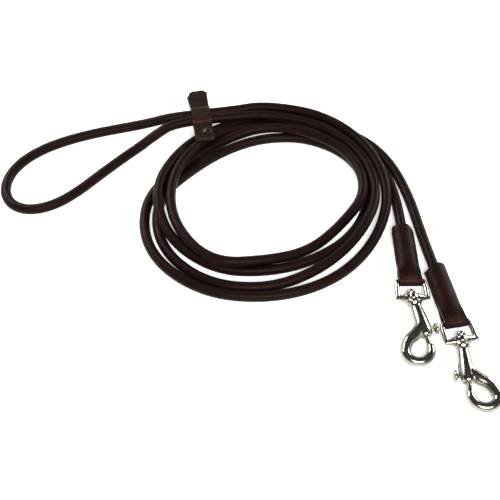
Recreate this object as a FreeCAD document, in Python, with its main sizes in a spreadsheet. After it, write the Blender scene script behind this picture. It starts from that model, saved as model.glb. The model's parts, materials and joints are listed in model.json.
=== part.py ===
import FreeCAD, Part
import math
import os

# Training leash: one round cord, folded in half, with a sliding keeper behind the handle loop,
# a loose coil of both strands, and a swivel-eye bolt snap in a leather sleeve on each end.
# Millimetres, +Z up. The leash lies on the plane Z = 0. The origin is under the middle of the
# box round the keeper, sleeves and snaps.

Vector = FreeCAD.Vector
Rotation = FreeCAD.Rotation
Placement = FreeCAD.Placement
X_AXIS = Vector(1, 0, 0)
Y_AXIS = Vector(0, 1, 0)
Z_AXIS = Vector(0, 0, 1)

doc = FreeCAD.newDocument("training_leash")

# ---------------------------------------------------------------- driving dimensions

SIZES = [
    ("cord_diameter", 8.0, "round cord"),
    # loose coil of both strands
    ("coil_x", -44.0, "centre of the coil"),
    ("coil_y", 36.0, "centre of the coil"),
    ("coil_height", 16.0, "two cords on each other"),
    ("coil_outer_major", 100.0, "half width of the outer oval"),
    ("coil_outer_minor", 97.0, "half depth of the outer oval"),
    ("coil_inner_major", 68.0, "half width of the open middle"),
    ("coil_inner_minor", 59.0, "half depth of the open middle"),
    ("coil_lap", 1.0, "the coil's solid past the ends of its neighbours"),
    ("strap_clearance", 0.4, "keeper's strap above a single cord of the coil"),
    ("channel_floor", 3.4, "top of the coil's solid below the keeper's channel"),
    ("channel_margin", 4.0, "room beside the keeper's channel"),
    # keeper: one strap folded over both strands
    ("keeper_x", -97.7, "middle of the keeper, between the strands"),
    ("keeper_y", 118.8, "middle of the keeper, between the strands"),
    ("keeper_z", 11.0, "middle of the keeper, between the strands"),
    ("keeper_yaw", 8.5, "turn about Z, degrees"),
    ("keeper_roll", -8.0, "near end up over the coil, degrees"),
    ("keeper_width", 15.5, "width of the strap"),
    ("keeper_leather", 1.8, "thickness of the strap"),
    ("keeper_tail", 33.0, "middle to the clipped tails"),
    ("keeper_fold", 31.0, "middle to the folded end"),
    ("keeper_clip", 3.2, "clipped corner of a tail"),
    ("strand_offset", 4.2, "half the spacing of the strands in the keeper"),
    ("channel_gap", 0.25, "clearance round a strand in the keeper"),
    ("keeper_rivet_x", 2.6, "place of the rivet across the strap"),
    ("keeper_rivet_y", -22.0, "place of the rivet along the strap"),
    ("keeper_post_radius", 1.5, "post of the rivet"),
    ("keeper_cap_radius", 3.9, "rim of the rivet's cap"),
    ("keeper_cap_rim", 0.6, "edge of the rivet's cap"),
    ("keeper_cap_crown", 1.6, "dome of the rivet's cap"),
    ("keeper_burr_radius", 3.6, "flat burr under the strap"),
    ("keeper_burr_height", 0.8, "flat burr under the strap"),
    # sleeves: one strap each, folded round the eye and closed over the cord
    ("sleeve_a_yaw", 1.2, "turn about Z, degrees"),
    ("sleeve_b_yaw", 10.5, "turn about Z, degrees"),
    ("sleeve_width", 15.0, "width of the strap"),
    ("sleeve_leather", 1.6, "thickness of the strap"),
    ("sleeve_length", 53.0, "fold to tail"),
    ("sleeve_clip", 3.4, "clipped corner of a tail"),
    ("sleeve_cord_stop", 26.0, "end of the cord, from the snap's pivot"),
    # thread
    ("stitch_length", 2.2, "one stitch"),
    ("stitch_width", 0.7, "one stitch"),
    ("stitch_height", 0.3, "one stitch above the leather"),
    ("stitch_pitch", 3.4, "stitch to stitch"),
    ("sleeve_stitches", 11.0, "stitches in one row of a sleeve"),
    ("keeper_stitches", 4.0, "stitches in one row of the keeper"),
    # snaps; places along a snap are measured from the middle of the eye's bar
    ("snap_a_x", 60.0, "pivot of snap a"),
    ("snap_a_y", -59.5, "pivot of snap a"),
    ("snap_a_yaw", 11.0, "turn about Z, degrees"),
    ("snap_b_x", 90.0, "pivot of snap b"),
    ("snap_b_y", -94.9, "pivot of snap b"),
    ("snap_b_yaw", 0.0, "turn about Z, degrees"),
    ("snap_pitch", 1.5, "hook end down, degrees"),
    ("eye_wire_radius", 2.0, "stock of the eye"),
    ("eye_half_width", 10.25, "middle to the wire's line"),
    ("eye_reach", 15.1, "bar to bar"),
    ("eye_corner", 3.8, "bend of the wire's line"),
    ("eye_boss_radius", 4.3, "boss in the bar"),
    ("eye_boss_half", 2.1, "half the boss's length"),
    ("eye_hole_radius", 2.5, "the stud's hole, wide enough to let the snap lean"),
    ("eye_bar_gap", 0.36, "clearance of the bar in the leather fold"),
    ("stud_ball_radius", 3.3, "head of the swivel stud"),
    ("stud_ball_place", 5.2, "centre of the head, inside the eye"),
    ("stud_shank_radius", 1.9, "shank of the swivel stud"),
    ("stud_end", 9.0, "end of the shank in the barrel"),
    ("collar_radius", 5.3, "collar on the barrel"),
    ("collar_start", 3.3, "collar on the barrel"),
    ("collar_length", 2.8, "collar on the barrel"),
    ("neck_radius", 3.9, "groove below the collar"),
    ("barrel_start", 7.2, "full barrel"),
    ("barrel_radius", 4.8, "full barrel"),
    ("barrel_taper", 29.0, "start of the tapered mouth"),
    ("barrel_mouth_radius", 3.9, "mouth of the barrel"),
    ("barrel_end", 32.3, "mouth of the barrel"),
    ("bore_radius", 1.85, "bore for bolt and spring"),
    ("bore_bottom", 9.6, "bottom of the bore"),
    ("slot_start", 18.2, "slot for the knob's post"),
    ("slot_end", 28.9, "slot for the knob's post"),
    ("slot_width", 2.6, "slot for the knob's post"),
    ("hook_stock_radius", 3.3, "round stock of the hook"),
    ("hook_ring_radius", 9.2, "line of the hook's round"),
    ("hook_centre", 41.2, "middle of the hook's round"),
    ("nose_top", 39.3, "nose of the hook"),
    ("nose_socket_depth", 1.6, "socket for the bolt's tip"),
    ("arm_root", 25.5, "where the hook's arm leaves the barrel"),
    ("bolt_radius", 1.75, "sliding bolt"),
    ("bolt_start", 22.6, "rear end of the bolt"),
    ("bolt_end", 40.4, "tip of the bolt, in the nose's socket"),
    ("knob_place", 27.5, "post of the knob"),
    ("post_radius", 1.1, "post of the knob"),
    ("knob_inner", 7.5, "inner face of the knob, from the barrel's axis"),
    ("knob_radius", 4.3, "rim of the knob"),
    ("knob_thickness", 1.6, "rim of the knob"),
    ("knob_crown", 1.1, "dome of the knob"),
    ("knob_crown_radius", 2.7, "top of the dome"),
    ("spring_radius", 1.4, "line of the spring's wire"),
    ("spring_wire_radius", 0.25, "wire of the spring"),
    ("spring_turns", 8.0, "turns of the spring"),
]

sheet = doc.addObject("Spreadsheet::Sheet", "Sizes")


def fill_sheet():
    for row, (alias, value, note) in enumerate(SIZES, start=1):
        sheet.set("A%d" % row, alias)
        sheet.set("B%d" % row, str(value))
        sheet.set("C%d" % row, note)
        sheet.setAlias("B%d" % row, alias)
    doc.recompute()


fill_sheet()


def size(alias):
    return float(sheet.get(alias))


# ---------------------------------------------------------------- the cord's route

# Points of the free stretches, chosen by hand: x, y, z of the cord's line.
LOOP_ROUTE = [
    (-72.1, 126.9, 10.4),
    (-122.6, 119.4, 10.4),
    (-141.5, 116.6, 6.2),
    (-161.0, 113.6, 4.0),
    (-183.0, 107.8, 4.0),
    (-204.0, 100.5, 4.0),
    (-223.5, 90.9, 4.0),
    (-240.0, 77.4, 4.0),
    (-249.6, 61.2, 4.0),
    (-251.2, 43.7, 4.0),
    (-244.0, 29.5, 4.0),
    (-229.5, 23.4, 4.0),
    (-211.0, 28.0, 4.0),
    (-193.8, 41.6, 4.0),
    (-177.2, 60.4, 4.0),
    (-161.2, 77.8, 4.0),
    (-147.4, 91.2, 4.4),
    (-134.8, 101.4, 7.6),
    (-120.6, 111.2, 11.6),
    (-70.9, 118.6, 11.6),
]

LEAD_A_ROUTE = [
    (31.5, 88.0, 4.0),
    (43.2, 78.4, 4.0),
    (51.2, 63.6, 4.0),
    (56.2, 42.5, 4.0),
    (58.43, 15.48, 5.6),
    (59.456, -33.506, 5.6),
]

LEAD_B_ROUTE = [
    (19.5, 110.0, 4.0),
    (36.3, 99.2, 4.0),
    (49.2, 85.0, 4.0),
    (58.3, 68.0, 4.0),
    (64.5, 49.2, 4.0),
    (69.2, 28.5, 4.0),
    (72.4, 5.0, 4.2),
    (76.332, -21.156, 5.6),
    (85.262, -69.335, 5.6),
]


# How much of a corner's shorter run its arc takes.
ARC_SHARE = 0.45


def rounded_wire(points):
    """Straight runs joined by tangent arcs, each as large as its two runs allow."""
    corners = [Vector(*point) for point in points]
    edges = []
    radii = []
    start = corners[0]
    for before, corner, after in zip(corners, corners[1:], corners[2:]):
        back = before - corner
        forward = after - corner
        shorter = min(back.Length, forward.Length)
        back.normalize()
        forward.normalize()
        turn = math.pi - back.getAngle(forward)
        reach = ARC_SHARE * shorter
        arc_start = corner + back * reach
        arc_end = corner + forward * reach
        radius = reach / math.tan(turn / 2)
        centre_line = back + forward
        centre_line.normalize()
        centre = corner + centre_line * (radius / math.cos(turn / 2))
        middle = centre - centre_line * radius
        edges.append(Part.LineSegment(start, arc_start).toShape())
        edges.append(Part.Arc(arc_start, middle, arc_end).toShape())
        radii.append(radius)
        start = arc_end
    edges.append(Part.LineSegment(start, corners[-1]).toShape())
    return Part.Wire(edges), radii


def cord_tube(label, points):
    """A tube of the cord's diameter along a free stretch of its route."""
    wire, radii = rounded_wire(points)
    spine = doc.addObject("Part::Feature", label + "_line")
    spine.Shape = wire
    section = doc.addObject("Part::Circle", label + "_section")
    section.setExpression("Radius", "Sizes.cord_diameter / 2")
    heading = Vector(*points[1]) - Vector(*points[0])
    section.Placement = Placement(Vector(*points[0]), Rotation(Z_AXIS, heading))
    tube = doc.addObject("Part::Sweep", label)
    tube.Sections = [section]
    tube.Spine = (spine, ["Edge%d" % (n + 1) for n in range(len(wire.Edges))])
    tube.Solid = True
    tube.Frenet = False
    doc.recompute()
    expected = wire.Length * math.pi * (size("cord_diameter") / 2) ** 2
    print("%s: length %.0f, smallest radius %.0f, volume ratio %.4f"
          % (label, wire.Length, min(radii), tube.Shape.Volume / expected))
    print("   radii", [round(radius) for radius in radii])
    return tube


# ---------------------------------------------------------------- small building blocks

def bind(thing, **expressions):
    """Ties properties to cells of the sheet; a double underscore stands for a dot."""
    for name, expression in expressions.items():
        thing.setExpression(name.replace("__", "."), expression)
    return thing


def cylinder(name, radius, length, turn=None, **places):
    """A round bar that starts at its place; without a turn it runs along -Y."""
    bar = doc.addObject("Part::Cylinder", name)
    bind(bar, Radius=radius, Height=length)
    bar.Placement = Placement(Vector(), turn or Rotation(X_AXIS, 90))
    return place(bar, **places)


def place(thing, **places):
    for axis, expression in places.items():
        thing.setExpression("Placement.Base." + axis, expression)
    return thing


def fuse(name, pieces):
    joined = doc.addObject("Part::MultiFuse", name)
    joined.Shapes = pieces
    joined.Refine = True
    return joined


def cut(name, base, tool):
    rest = doc.addObject("Part::Cut", name)
    rest.Base = base
    rest.Tool = tool
    rest.Refine = True
    return rest


def stand(side, yaw_alias, pitch=0.0, flip=0.0):
    """The placement of a piece that belongs to snap a or b."""
    pivot_height = size("cord_diameter") / 2 + size("sleeve_leather")
    pivot = Vector(size("snap_%s_x" % side), size("snap_%s_y" % side), pivot_height)
    yaw = Rotation(Z_AXIS, size(yaw_alias))
    return Placement(pivot, yaw * Rotation(X_AXIS, pitch) * Rotation(Y_AXIS, flip))


nodes = {}


def keep(label, thing, placement=None):
    """Names a finished sub-part and sets it in its place."""
    thing.Label = label
    if placement is not None:
        thing.Placement = placement
    nodes[label] = thing
    return thing


# ---------------------------------------------------------------- snap

def snap_eye(side):
    """A rounded rectangle of round wire, with a boss for the stud in its lower bar."""
    prefix = "eye_%s_" % side
    pieces = []
    for number, (x_sign, at_top) in enumerate([(1, True), (-1, True), (-1, False), (1, False)]):
        corner = doc.addObject("Part::Torus", prefix + "corner%d" % number)
        bind(corner, Radius1="Sizes.eye_corner", Radius2="Sizes.eye_wire_radius")
        corner.Angle3 = 90
        corner.Placement = Placement(Vector(), Rotation(Z_AXIS, 90 * number))
        y_place = "Sizes.eye_reach - Sizes.eye_corner" if at_top else "Sizes.eye_corner"
        place(corner, x="%d * (Sizes.eye_half_width - Sizes.eye_corner)" % x_sign, y=y_place)
        pieces.append(corner)
    straight = "Sizes.eye_reach - 2 * Sizes.eye_corner"
    across = "2 * (Sizes.eye_half_width - Sizes.eye_corner)"
    for x_sign in (1, -1):
        arm = cylinder(prefix + "arm%d" % x_sign, "Sizes.eye_wire_radius", straight,
                       x="%d * Sizes.eye_half_width" % x_sign, y="Sizes.eye_reach - Sizes.eye_corner")
        pieces.append(arm)
    for bar_name, y_place in (("top", "Sizes.eye_reach"), ("bar", "0 mm")):
        bar = cylinder(prefix + bar_name, "Sizes.eye_wire_radius", across, Rotation(Y_AXIS, 90),
                       x="Sizes.eye_corner - Sizes.eye_half_width", y=y_place)
        pieces.append(bar)
    boss = cylinder(prefix + "boss", "Sizes.eye_boss_radius", "2 * Sizes.eye_boss_half",
                    y="Sizes.eye_boss_half")
    pieces.append(boss)
    hole = cylinder(prefix + "hole", "Sizes.eye_hole_radius", "4 * Sizes.eye_boss_half",
                    y="2 * Sizes.eye_boss_half")
    eye = cut(prefix + "drilled", fuse(prefix + "blank", pieces), hole)
    return keep("snap_eye_" + side, eye, stand(side, "sleeve_%s_yaw" % side))


def swivel_stud(side, placement):
    """Ball-headed rivet: the head is inside the eye, the shank is fast in the barrel."""
    prefix = "stud_%s_" % side
    ball = doc.addObject("Part::Sphere", prefix + "ball")
    bind(ball, Radius="Sizes.stud_ball_radius")
    place(ball, y="Sizes.stud_ball_place")
    shank = cylinder(prefix + "shank", "Sizes.stud_shank_radius", "Sizes.stud_ball_place + Sizes.stud_end",
                     y="Sizes.stud_ball_place")
    return keep("snap_swivel_stud_" + side, fuse(prefix + "whole", [ball, shank]), placement)


def barrel(prefix):
    """Collar, groove, barrel and tapered mouth, along -Y."""
    collar = cylinder(prefix + "collar", "Sizes.collar_radius", "Sizes.collar_length",
                      y="-Sizes.collar_start")
    neck = cylinder(prefix + "neck", "Sizes.neck_radius", "Sizes.barrel_start - Sizes.collar_start",
                    y="-Sizes.collar_start")
    tube = cylinder(prefix + "tube", "Sizes.barrel_radius", "Sizes.barrel_taper - Sizes.barrel_start",
                    y="-Sizes.barrel_start")
    mouth = doc.addObject("Part::Cone", prefix + "mouth")
    bind(mouth, Radius1="Sizes.barrel_radius", Radius2="Sizes.barrel_mouth_radius",
         Height="Sizes.barrel_end - Sizes.barrel_taper")
    mouth.Placement = Placement(Vector(), Rotation(X_AXIS, 90))
    place(mouth, y="-Sizes.barrel_taper")
    return [collar, neck, tube, mouth]


def hook(prefix):
    """Round stock: an arm from the barrel, most of a circle, and the nose under the bolt."""
    ring_radius = size("hook_ring_radius")
    drop = size("hook_centre") - size("arm_root")
    reach = math.hypot(ring_radius, drop)
    # the arm is the tangent from the barrel's axis to the left of the round
    lean = math.asin(ring_radius / reach)
    to_centre = math.atan2(-drop, -ring_radius)
    arm_heading = to_centre - lean
    arm_length = math.sqrt(reach ** 2 - ring_radius ** 2)
    tangent_angle = arm_heading + math.pi / 2 + math.pi
    arm = doc.addObject("Part::Cylinder", prefix + "arm")
    bind(arm, Radius="Sizes.hook_stock_radius")
    arm.Height = arm_length
    direction = Vector(math.cos(arm_heading), math.sin(arm_heading), 0)
    arm.Placement = Placement(Vector(0, -size("arm_root"), 0), Rotation(Z_AXIS, direction))
    round_part = doc.addObject("Part::Torus", prefix + "round")
    bind(round_part, Radius1="Sizes.hook_ring_radius", Radius2="Sizes.hook_stock_radius")
    start_degrees = math.degrees(tangent_angle) % 360
    round_part.Angle3 = 360 - start_degrees
    round_part.Placement = Placement(Vector(), Rotation(Z_AXIS, start_degrees))
    place(round_part, x="-Sizes.hook_ring_radius", y="-Sizes.hook_centre")
    nose = cylinder(prefix + "nose", "Sizes.hook_stock_radius", "Sizes.hook_centre - Sizes.nose_top",
                    y="-Sizes.nose_top")
    return [arm, round_part, nose]


def hook_body(side, placement):
    """Barrel and hook in one casting, bored for bolt and spring and slotted for the knob's post."""
    prefix = "body_%s_" % side
    blank = fuse(prefix + "blank", barrel(prefix) + hook(prefix))
    bore = cylinder(prefix + "bore", "Sizes.bore_radius", "Sizes.nose_top - Sizes.bore_bottom",
                    y="-Sizes.bore_bottom")
    socket = cylinder(prefix + "socket", "Sizes.bore_radius", "2 * Sizes.nose_socket_depth",
                      y="Sizes.nose_socket_depth - Sizes.nose_top")
    stud_hole = cylinder(prefix + "stud_hole", "Sizes.stud_shank_radius",
                         "Sizes.stud_end - Sizes.collar_start", y="-Sizes.collar_start")
    slot = doc.addObject("Part::Box", prefix + "slot")
    bind(slot, Length="Sizes.barrel_radius", Width="Sizes.slot_end - Sizes.slot_start - Sizes.slot_width",
         Height="Sizes.slot_width")
    place(slot, y="Sizes.slot_width / 2 - Sizes.slot_end", z="-Sizes.slot_width / 2")
    slot_ends = []
    for number, y_place in enumerate(("Sizes.slot_width / 2 - Sizes.slot_end",
                                      "-Sizes.slot_start - Sizes.slot_width / 2")):
        slot_end = cylinder(prefix + "slot_end%d" % number, "Sizes.slot_width / 2", "Sizes.barrel_radius",
                            Rotation(Y_AXIS, 90), y=y_place)
        slot_ends.append(slot_end)
    tools = fuse(prefix + "tools", [bore, socket, stud_hole, slot] + slot_ends)
    return keep("snap_hook_body_" + side, cut(prefix + "whole", blank, tools), placement)


def bolt(side, placement):
    """The sliding bolt, cross-drilled for the knob's post."""
    prefix = "bolt_%s_" % side
    rod = cylinder(prefix + "rod", "Sizes.bolt_radius", "Sizes.bolt_end - Sizes.bolt_start",
                   y="-Sizes.bolt_start")
    hole = cylinder(prefix + "hole", "Sizes.post_radius", "Sizes.bolt_radius * 2",
                    Rotation(Y_AXIS, 90), y="-Sizes.knob_place")
    return keep("snap_bolt_" + side, cut(prefix + "whole", rod, hole), placement)


def thumb_knob(side, placement):
    """Post, disc and shallow dome, turned in one piece."""
    prefix = "knob_%s_" % side
    along_x = Rotation(Y_AXIS, 90)
    post = cylinder(prefix + "post", "Sizes.post_radius", "Sizes.knob_inner + Sizes.knob_thickness",
                    along_x, y="-Sizes.knob_place")
    disc = cylinder(prefix + "disc", "Sizes.knob_radius", "Sizes.knob_thickness",
                    along_x, x="Sizes.knob_inner", y="-Sizes.knob_place")
    crown = doc.addObject("Part::Cone", prefix + "crown")
    bind(crown, Radius1="Sizes.knob_radius", Radius2="Sizes.knob_crown_radius",
         Height="Sizes.knob_crown")
    crown.Placement = Placement(Vector(), along_x)
    place(crown, x="Sizes.knob_inner + Sizes.knob_thickness", y="-Sizes.knob_place")
    return keep("snap_thumb_knob_" + side, fuse(prefix + "whole", [post, disc, crown]), placement)


def bolt_spring(side, placement):
    """Compression spring between the bottom of the bore and the bolt."""
    prefix = "spring_%s_" % side
    room = size("bolt_start") - size("bore_bottom") - 2 * size("spring_wire_radius")
    helix = doc.addObject("Part::Helix", prefix + "line")
    bind(helix, Radius="Sizes.spring_radius")
    helix.Pitch = room / size("spring_turns")
    helix.Height = room
    section = doc.addObject("Part::Circle", prefix + "section")
    bind(section, Radius="Sizes.spring_wire_radius")
    section.Placement = Placement(Vector(size("spring_radius"), 0, 0), Rotation(X_AXIS, 90))
    coil = doc.addObject("Part::Sweep", prefix + "coil")
    coil.Sections = [section]
    coil.Spine = (helix, ["Edge1"])
    coil.Solid = True
    coil.Frenet = True
    start = Vector(0, -size("bore_bottom") - size("spring_wire_radius"), 0)
    return keep("snap_bolt_spring_" + side, coil, placement * Placement(start, Rotation(X_AXIS, 90)))


def snap(side, flip):
    placement = stand(side, "snap_%s_yaw" % side, size("snap_pitch"), flip)
    snap_eye(side)
    swivel_stud(side, placement)
    hook_body(side, placement)
    bolt(side, placement)
    thumb_knob(side, placement)
    bolt_spring(side, placement)


# ---------------------------------------------------------------- leather

def plane_of(body, role):
    return [feature for feature in body.Origin.OriginFeatures if feature.Role == role][0]


def outline_pad(body, name, outline, thickness):
    """A pad of a closed straight-sided outline, half each side of the body's XY plane."""
    sketch = body.newObject("Sketcher::SketchObject", name + "_outline")
    sketch.AttachmentSupport = [(plane_of(body, "XY_Plane"), "")]
    sketch.MapMode = "FlatFace"
    corners = [Vector(x, y, 0) for x, y in outline]
    for start, end in zip(corners, corners[1:] + corners[:1]):
        sketch.addGeometry(Part.LineSegment(start, end), False)
    pad = body.newObject("PartDesign::Pad", name)
    pad.Profile = sketch
    pad.Midplane = True
    bind(pad, Length=thickness)
    return pad


def bar_feature(body, kind, name, radius, length, turn, **places):
    """An added or removed round bar in a leather body."""
    bar = body.newObject("PartDesign::%sCylinder" % kind, name)
    bind(bar, Radius=radius, Height=length)
    bar.Placement = Placement(Vector(), turn)
    return place(bar, **places)


def strap_outline(half_width, fold_y, tail_y, clip):
    """A strip whose tail end has clipped corners."""
    return [
        (-half_width, fold_y),
        (half_width, fold_y),
        (half_width, tail_y - clip),
        (half_width - clip, tail_y),
        (clip - half_width, tail_y),
        (-half_width, tail_y - clip),
    ]


FOLD_FACE = "Sizes.eye_reach - Sizes.eye_wire_radius - Sizes.eye_bar_gap - Sizes.sleeve_leather"


def sleeve(side):
    """One strap, folded round the eye's top bar and closed over the cord's end."""
    body = doc.addObject("PartDesign::Body", "sleeve_%s_body" % side)
    prefix = "sleeve_%s_" % side
    fold_face = size("eye_reach") - size("eye_wire_radius") - size("eye_bar_gap") - size("sleeve_leather")
    tail = fold_face + size("sleeve_length")
    outline = strap_outline(size("sleeve_width") / 2, size("eye_reach"), tail, size("sleeve_clip"))
    outline_pad(body, prefix + "layers", outline, "2 * Sizes.sleeve_leather")
    across = Rotation(Y_AXIS, 90)
    bar_feature(body, "Additive", prefix + "fold",
                "Sizes.eye_wire_radius + Sizes.eye_bar_gap + Sizes.sleeve_leather", "Sizes.sleeve_width",
                across, x="-Sizes.sleeve_width / 2", y="Sizes.eye_reach")
    along = Rotation(X_AXIS, -90)
    cover = body.newObject("PartDesign::AdditiveSphere", prefix + "cord_end_cover")
    bind(cover, Radius="Sizes.cord_diameter / 2 + Sizes.sleeve_leather")
    place(cover, y="Sizes.sleeve_cord_stop")
    bar_feature(body, "Additive", prefix + "bulge", "Sizes.cord_diameter / 2 + Sizes.sleeve_leather",
                FOLD_FACE + " + Sizes.sleeve_length - Sizes.sleeve_cord_stop", along,
                y="Sizes.sleeve_cord_stop")
    bar_feature(body, "Subtractive", prefix + "cord_hole", "Sizes.cord_diameter / 2",
                "2 * Sizes.sleeve_length", along, y="Sizes.sleeve_cord_stop")
    bar_feature(body, "Subtractive", prefix + "bar_hole", "Sizes.eye_wire_radius + Sizes.eye_bar_gap",
                "2 * Sizes.sleeve_width", across, x="-Sizes.sleeve_width", y="Sizes.eye_reach")
    return keep("sleeve_" + side, body, stand(side, "sleeve_%s_yaw" % side))


def stitch(name, along_x, x, y, face):
    """One stitch lying on the upper or lower face; face is its height, with a sign."""
    thread = doc.addObject("Part::Box", name)
    sides = ["stitch_length", "stitch_width"]
    if not along_x:
        sides.reverse()
    bind(thread, Length="Sizes." + sides[0], Width="Sizes." + sides[1], Height="Sizes.stitch_height")
    bottom = face if face > 0 else face - size("stitch_height")
    corner = Vector(x - size(sides[0]) / 2, y - size(sides[1]) / 2, bottom)
    thread.Placement = Placement(corner, Rotation())
    return thread


def sleeve_stitching(side):
    """A row of stitches on both margins, above and below."""
    first = size("sleeve_cord_stop") - size("stitch_pitch")
    row = (size("sleeve_width") / 2 + size("cord_diameter") / 2 + size("sleeve_leather")) / 2
    threads = []
    for x_sign in (1, -1):
        for z_sign in (1, -1):
            for number in range(int(size("sleeve_stitches"))):
                name = "thread_%s_%d" % (side, len(threads))
                y = first + number * size("stitch_pitch")
                threads.append(stitch(name, False, x_sign * row, y, z_sign * size("sleeve_leather")))
    group = doc.addObject("Part::Compound", "sleeve_%s_threads" % side)
    group.Links = threads
    return keep("sleeve_%s_stitching" % side, group, stand(side, "sleeve_%s_yaw" % side))


def keeper_placement():
    middle = Vector(size("keeper_x"), size("keeper_y"), size("keeper_z"))
    return Placement(middle, Rotation(Z_AXIS, size("keeper_yaw")) * Rotation(X_AXIS, size("keeper_roll")))


def keeper_strap():
    """One strap over both strands: folded near end, closed layers, clipped tails at the far end."""
    body = doc.addObject("PartDesign::Body", "keeper_body")
    outline = strap_outline(size("keeper_width") / 2, -size("keeper_fold"), size("keeper_tail"),
                            size("keeper_clip"))
    outline_pad(body, "keeper_layers", outline, "2 * Sizes.keeper_leather")
    across = Rotation(Y_AXIS, 90)
    wall = "Sizes.cord_diameter / 2 + Sizes.channel_gap + Sizes.keeper_leather"
    for sign in (1, -1):
        bar_feature(body, "Additive", "keeper_wall%d" % sign, wall, "Sizes.keeper_width", across,
                    x="-Sizes.keeper_width / 2", y="%d * Sizes.strand_offset" % sign)
    block = body.newObject("PartDesign::AdditiveBox", "keeper_wall_middle")
    bind(block, Length="Sizes.keeper_width", Width="2 * Sizes.strand_offset", Height="2 * (%s)" % wall)
    place(block, x="-Sizes.keeper_width / 2", y="-Sizes.strand_offset", z="-(%s)" % wall)
    room = "Sizes.cord_diameter / 2 + Sizes.channel_gap"
    for sign in (1, -1):
        bar_feature(body, "Subtractive", "keeper_channel%d" % sign, room, "2 * Sizes.keeper_width", across,
                    x="-Sizes.keeper_width", y="%d * Sizes.strand_offset" % sign)
    slot = body.newObject("PartDesign::SubtractiveBox", "keeper_channel_middle")
    bind(slot, Length="2 * Sizes.keeper_width", Width="2 * Sizes.strand_offset", Height="2 * (%s)" % room)
    place(slot, x="-Sizes.keeper_width", y="-Sizes.strand_offset", z="-(%s)" % room)
    bar_feature(body, "Subtractive", "keeper_rivet_hole", "Sizes.keeper_post_radius",
                "4 * Sizes.keeper_leather", Rotation(), x="Sizes.keeper_rivet_x",
                y="Sizes.keeper_rivet_y", z="-2 * Sizes.keeper_leather")
    return keep("keeper_strap", body, keeper_placement())


def keeper_rivet():
    """A domed cap above the strap, and a post with a flat burr below it."""
    rim = cylinder("keeper_cap_rim", "Sizes.keeper_cap_radius", "Sizes.keeper_cap_rim", Rotation(),
                   x="Sizes.keeper_rivet_x", y="Sizes.keeper_rivet_y", z="Sizes.keeper_leather")
    dome = doc.addObject("Part::Sphere", "keeper_cap_dome")
    crown = "Sizes.keeper_cap_crown"
    ball_radius = "(Sizes.keeper_cap_radius ^ 2 + %s ^ 2) / (2 * %s)" % (crown, crown)
    bind(dome, Radius=ball_radius, Angle1="asin((%s - %s) / (%s))" % (ball_radius, crown, ball_radius))
    place(dome, x="Sizes.keeper_rivet_x", y="Sizes.keeper_rivet_y",
          z="Sizes.keeper_leather + Sizes.keeper_cap_rim + %s - %s" % (crown, ball_radius))
    keep("keeper_rivet_cap", fuse("keeper_cap_whole", [rim, dome]), keeper_placement())
    post = cylinder("keeper_post_bar", "Sizes.keeper_post_radius", "2 * Sizes.keeper_leather", Rotation(),
                    x="Sizes.keeper_rivet_x", y="Sizes.keeper_rivet_y", z="-Sizes.keeper_leather")
    burr = cylinder("keeper_burr", "Sizes.keeper_burr_radius", "Sizes.keeper_burr_height", Rotation(),
                    x="Sizes.keeper_rivet_x", y="Sizes.keeper_rivet_y",
                    z="-Sizes.keeper_leather - Sizes.keeper_burr_height")
    keep("keeper_rivet_post", fuse("keeper_post_whole", [post, burr]), keeper_placement())


def keeper_stitching():
    """A row of stitches across the strap on the far side of the strands, above and below."""
    row = 2 * size("strand_offset") + size("cord_diameter") / 2
    count = int(size("keeper_stitches"))
    threads = []
    for z_sign in (1, -1):
        for number in range(count):
            x = (number - (count - 1) / 2) * size("stitch_pitch")
            name = "keeper_thread_%d" % len(threads)
            threads.append(stitch(name, True, x, row, z_sign * size("keeper_leather")))
    group = doc.addObject("Part::Compound", "keeper_threads")
    group.Links = threads
    keep("keeper_stitching", group, keeper_placement())


# ---------------------------------------------------------------- cord

def oval(name, major, minor):
    """An oval prism as high as the coil."""
    edge = doc.addObject("Part::Ellipse", name + "_edge")
    bind(edge, MajorRadius=major, MinorRadius=minor)
    place(edge, x="Sizes.coil_x", y="Sizes.coil_y")
    prism = doc.addObject("Part::Extrusion", name)
    prism.Base = edge
    prism.DirMode = "Normal"
    prism.Solid = True
    bind(prism, LengthFwd="Sizes.coil_height")
    return prism


def block_between(name, low, high):
    block = doc.addObject("Part::Box", name)
    block.Length = high[0] - low[0]
    block.Width = high[1] - low[1]
    block.Height = high[2] - low[2]
    block.Placement = Placement(Vector(*low), Rotation())
    return block


def coil_solid():
    """The coil's outer shape: an oval ring that reaches the loop's strands, with room for the keeper."""
    outer = oval("coil_outer", "Sizes.coil_outer_major", "Sizes.coil_outer_minor")
    inner = oval("coil_inner", "Sizes.coil_inner_major", "Sizes.coil_inner_minor")
    ring = cut("coil_ring", outer, inner)
    lap = size("coil_lap")
    top = size("coil_height")
    left = size("coil_x") - size("coil_outer_major") - lap
    strands_in = LOOP_ROUTE[0][0] - lap
    far_edge = LOOP_ROUTE[0][1] + size("cord_diameter") / 2
    near_edge = LOOP_ROUTE[-1][1] - size("cord_diameter")
    bridge = block_between("coil_bridge", (strands_in, near_edge, 0.0), (size("coil_x"), far_edge, top))
    solid = fuse("coil_with_bridge", [ring, bridge])
    room_top = (strands_in, far_edge + lap, top + lap)
    strap_near = size("keeper_y") - size("keeper_fold") - size("cord_diameter")
    strap_low = size("cord_diameter") + size("strap_clearance")
    strap_room = block_between("coil_room_for_strap", (left, strap_near, strap_low), room_top)
    channel_near = size("keeper_y") - 2 * size("strand_offset") - size("channel_margin")
    channel_low = size("channel_floor")
    channel_room = block_between("coil_room_for_channel", (left, channel_near, channel_low), room_top)
    room = fuse("coil_room", [strap_room, channel_room])
    return keep("cord_coil", cut("coil_whole", solid, room))


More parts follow.
